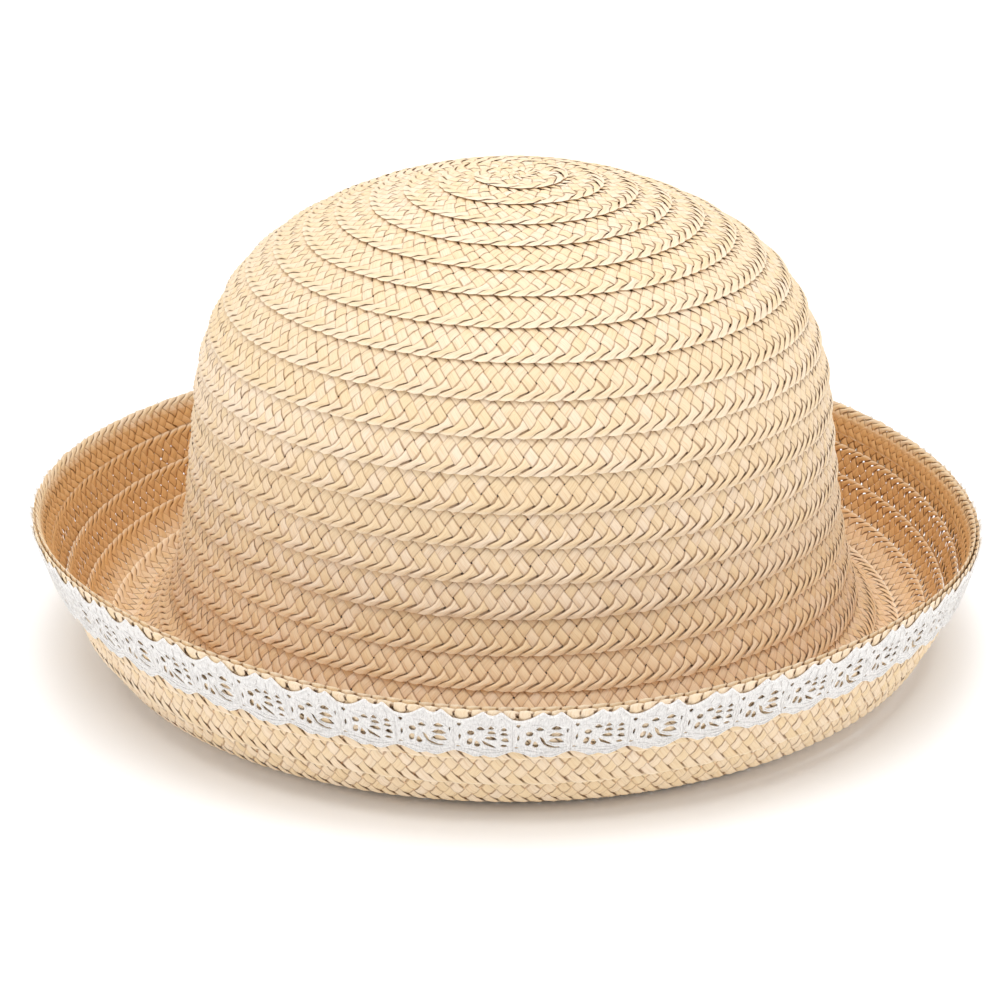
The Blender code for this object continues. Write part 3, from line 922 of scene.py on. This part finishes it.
    def flat_curve(self, lines: list, fill: bool, radius: float) -> bpy.types.Object:
        """Makes a mesh of lines in millimetres: a filled sheet with round edges, or round threads on it.

        Args:
            lines: The lines, each as (x, y) pairs. For a sheet, the first is its outline.
            fill: Whether they are the closed outlines of a sheet.
            radius: The radius of the sheet's edges or of the threads.

        Returns:
            The mesh object.
        """
        curve = bpy.data.curves.new("lace_lines", "CURVE")
        curve.dimensions = "2D" if fill else "3D"
        curve.fill_mode = "BOTH" if fill else "FULL"
        curve.bevel_depth = radius
        curve.bevel_resolution = 0 if fill else 1
        curve.use_fill_caps = not fill
        if fill:
            curve.extrude = self.thickness / 2 - radius
            curve.offset = -radius
        for outline in lines:
            line = curve.splines.new("POLY")
            line.points.add(len(outline) - 1)
            line.use_cyclic_u = fill
            for point, (x, y) in zip(line.points, outline):
                point.co = (x * MM, y * MM, 0.0 if fill else self.thickness / 2, 1.0)
        guide = bpy.data.objects.new("lace_lines", curve)
        bpy.context.scene.collection.objects.link(guide)
        select_only(guide)
        bpy.ops.object.convert(target="MESH")
        piece = bpy.context.object
        bpy.ops.object.mode_set(mode="EDIT")
        bpy.ops.mesh.select_all(action="SELECT")
        bpy.ops.mesh.remove_doubles(threshold=0.002 * MM)
        bpy.ops.mesh.normals_make_consistent(inside=False)
        bpy.ops.object.mode_set(mode="OBJECT")
        return piece

    def motif(self, kind: MotifKind, place: int) -> bpy.types.Object:
        """Models one motif, laid flat: the sheet with its openings, and the threads on it.

        Args:
            kind: Which motif it is.
            place: Its place in the repeat, counted from 0.

        Returns:
            The motif's mesh.
        """
        outline = self.lower_edge() + self.upper_edge()[::-1]
        sheet = self.flat_curve([outline, *self.openings(kind)], True, self.edging)
        cords = self.flat_curve(self.threads(kind), False, self.thread)
        select_only(sheet, cords)
        bpy.ops.object.join()
        piece = bpy.context.object
        points = points_of(piece)
        points[:, 0] += place * self.period
        set_points(piece, points)
        return piece

    def stand_off(self, turn: np.ndarray, length: np.ndarray) -> np.ndarray:
        """How far out of the straw's middle the lace's back lies: it follows the last turn of braid."""
        braid = self.braid
        down = np.clip((braid.form.rim - length) / (2 * braid.plait.half_width), 0.0, 1.0)
        face = braid.lip_out - braid.plait.rise - braid.plait.straw_thickness / 2 - self.bedded
        face = face - (braid.lip_out - braid.tuck_out) * down - braid.step * braid.doubled(turn)
        return face - braid.settled(length)

    def trim(self) -> bpy.types.Object:
        """Repeats the motifs round the brim and wraps them on the straw.

        Returns:
            The lace trim, in its place.
        """
        motifs = [self.motif(kind, place) for place, kind in enumerate(self.kinds)]
        select_only(*motifs)
        bpy.ops.object.join()
        piece = bpy.context.object
        array = piece.modifiers.new("repeat", "ARRAY")
        array.use_relative_offset = False
        array.use_constant_offset = True
        array.constant_offset_displace = (self.period * len(self.kinds), 0.0, 0.0)
        array.count = self.motifs // len(self.kinds)
        bpy.ops.object.modifier_apply(modifier="repeat")
        points = points_of(piece)
        map_corners(piece.data, "lace", points[:, :2] / MM)
        turn = points[:, 0] / (self.period * self.motifs)
        length = self.braid.form.rim - self.drop - self.width + points[:, 1]
        out = self.stand_off(turn, length) - self.thickness / 2 - points[:, 2]
        set_points(piece, self.braid.form.place(turn, length, out))
        piece.name = piece.data.name = "cotton_lace"
        return piece


# The hat and the studio


class StrawHat:
    """The hat: its braid and its lace, in place of the plain solids."""

    def __init__(self) -> None:
        """Reads the crown's axis from the frame."""
        low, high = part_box("crown_side")
        self.form = HatForm(axis=((low.x + high.x) / 2, (low.y + high.y) / 2))
        self.braid = Braid(self.form, Plait())
        self.lace = Lace(self.braid)
        self.straw = WheatStraw().material()
        self.cotton = CottonLace().material()

    def finish(self, piece: bpy.types.Object, material: bpy.types.Material, slot: str, *nodes: str) -> None:
        """Dresses a piece and hides the solids that it replaces.

        Args:
            piece: The finished mesh.
            material: Its material.
            slot: The record's material slot; not used.
            *nodes: The solids that it replaces.
        """
        piece.data.materials.clear()
        piece.data.materials.append(material)
        select_only(piece)
        bpy.ops.object.shade_smooth_by_angle(angle=math.radians(50))
        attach(piece, "root")
        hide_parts(*nodes)
        LOG.info("%s: %d triangles", piece.name, sum(len(p.vertices) - 2 for p in piece.data.polygons))

    def build(self) -> None:
        """Builds every piece."""
        spiral = Course.SPIRAL
        stretches = (
            ("braid_crown_tip", spiral, -1.0, 7.0, "crown_tip"),
            ("braid_crown_side_upper", spiral, 7.0, 11.5, "crown_side"),
            ("braid_crown_side_lower", spiral, 11.5, 16.0, "crown_side"),
            ("braid_brim_floor", spiral, 16.0, 19.0, "brim_floor"),
            ("braid_brim_wall", spiral, 19.0, self.braid.last_turn, "brim_wall"),
            ("braid_brim_edge", Course.RING, 0.0, 1.0, "brim_edge"),
        )
        for name, course, start, end, node in stretches:
            self.finish(self.braid.stretch(name, course, start, end), self.straw, "straw_braid", node)
        self.finish(self.lace.trim(), self.cotton, "cotton_lace", "lace_trim")


class Studio:
    """A pale floor, soft light and the camera at the photograph's angle."""

    elevation: float = math.radians(22.8)
    distance: float = 0.711
    aim_height: float = 0.036
    lens: float = 98.7

    def floor(self) -> None:
        """A plain pale floor."""
        bpy.ops.object.select_all(action="DESELECT")
        bpy.ops.mesh.primitive_plane_add(size=8.0, location=(0.0, 0.0, 0.0))
        floor = bpy.context.object
        floor.name = "floor"
        make = Shading("white_paper")
        make.shader.inputs["Base Color"].default_value = linear("FDFDFD")
        make.shader.inputs["Roughness"].default_value = 0.9
        floor.data.materials.append(make.material)

    def lights(self) -> None:
        """Large soft lights above and behind, a fill on each side, and an even pale sky."""
        lamps = (
            ("top_soft", (0.0, -0.45, 2.1), (0, 0, 0.05), 1.5, 26.0),
            ("back_soft", (0.0, 1.9, 1.9), (0, 1.3, 0.0), 2.2, 22.0),
            ("left_fill", (-2.2, -0.9, 1.0), (0, 0, 0.05), 1.4, 15.0),
            ("right_fill", (2.2, -0.9, 1.0), (0, 0, 0.05), 1.4, 15.0),
        )
        for name, place, target, size, power in lamps:
            data = bpy.data.lights.new(name, "AREA")
            data.shape, data.size, data.energy = "DISK", size, power
            lamp = bpy.data.objects.new(name, data)
            lamp.location = place
            lamp.rotation_euler = (Vector(target) - Vector(place)).to_track_quat("-Z", "Y").to_euler()
            bpy.context.scene.collection.objects.link(lamp)
        world = bpy.data.worlds.new("pale_sky")
        world.use_nodes = True
        world.node_tree.nodes["Background"].inputs["Color"].default_value = linear("FBFCFF")
        world.node_tree.nodes["Background"].inputs["Strength"].default_value = 0.54
        bpy.context.scene.world = world
        bpy.context.scene.view_settings.view_transform = "Standard"

    def camera(self, axis: tuple[float, float]) -> None:
        """The camera in front of the hat and above it, as the photograph was taken."""
        data = bpy.data.cameras.new("camera")
        data.lens = self.lens
        data.sensor_width = 36.0
        data.shift_x, data.shift_y = -0.0125, -0.00785
        data.clip_start, data.clip_end = 0.01, 20.0
        camera = bpy.data.objects.new("camera", data)
        back = Vector((0.0, -math.cos(self.elevation), math.sin(self.elevation)))
        camera.location = Vector((axis[0], axis[1], self.aim_height)) + back * self.distance
        camera.rotation_euler = (-back).to_track_quat("-Z", "Y").to_euler()
        bpy.context.scene.collection.objects.link(camera)
        bpy.context.scene.camera = camera

    def build(self, axis: tuple[float, float]) -> None:
        """Sets up the floor, the lights and the camera."""
        self.floor()
        self.lights()
        self.camera(axis)


def main() -> None:
    """Builds the hat and the studio."""
    logging.basicConfig(level=logging.INFO, format="%(name)s %(message)s")
    hat = StrawHat()
    Studio().build(hat.form.axis)
    hat.build()


if __name__ == "__main__":
    main()
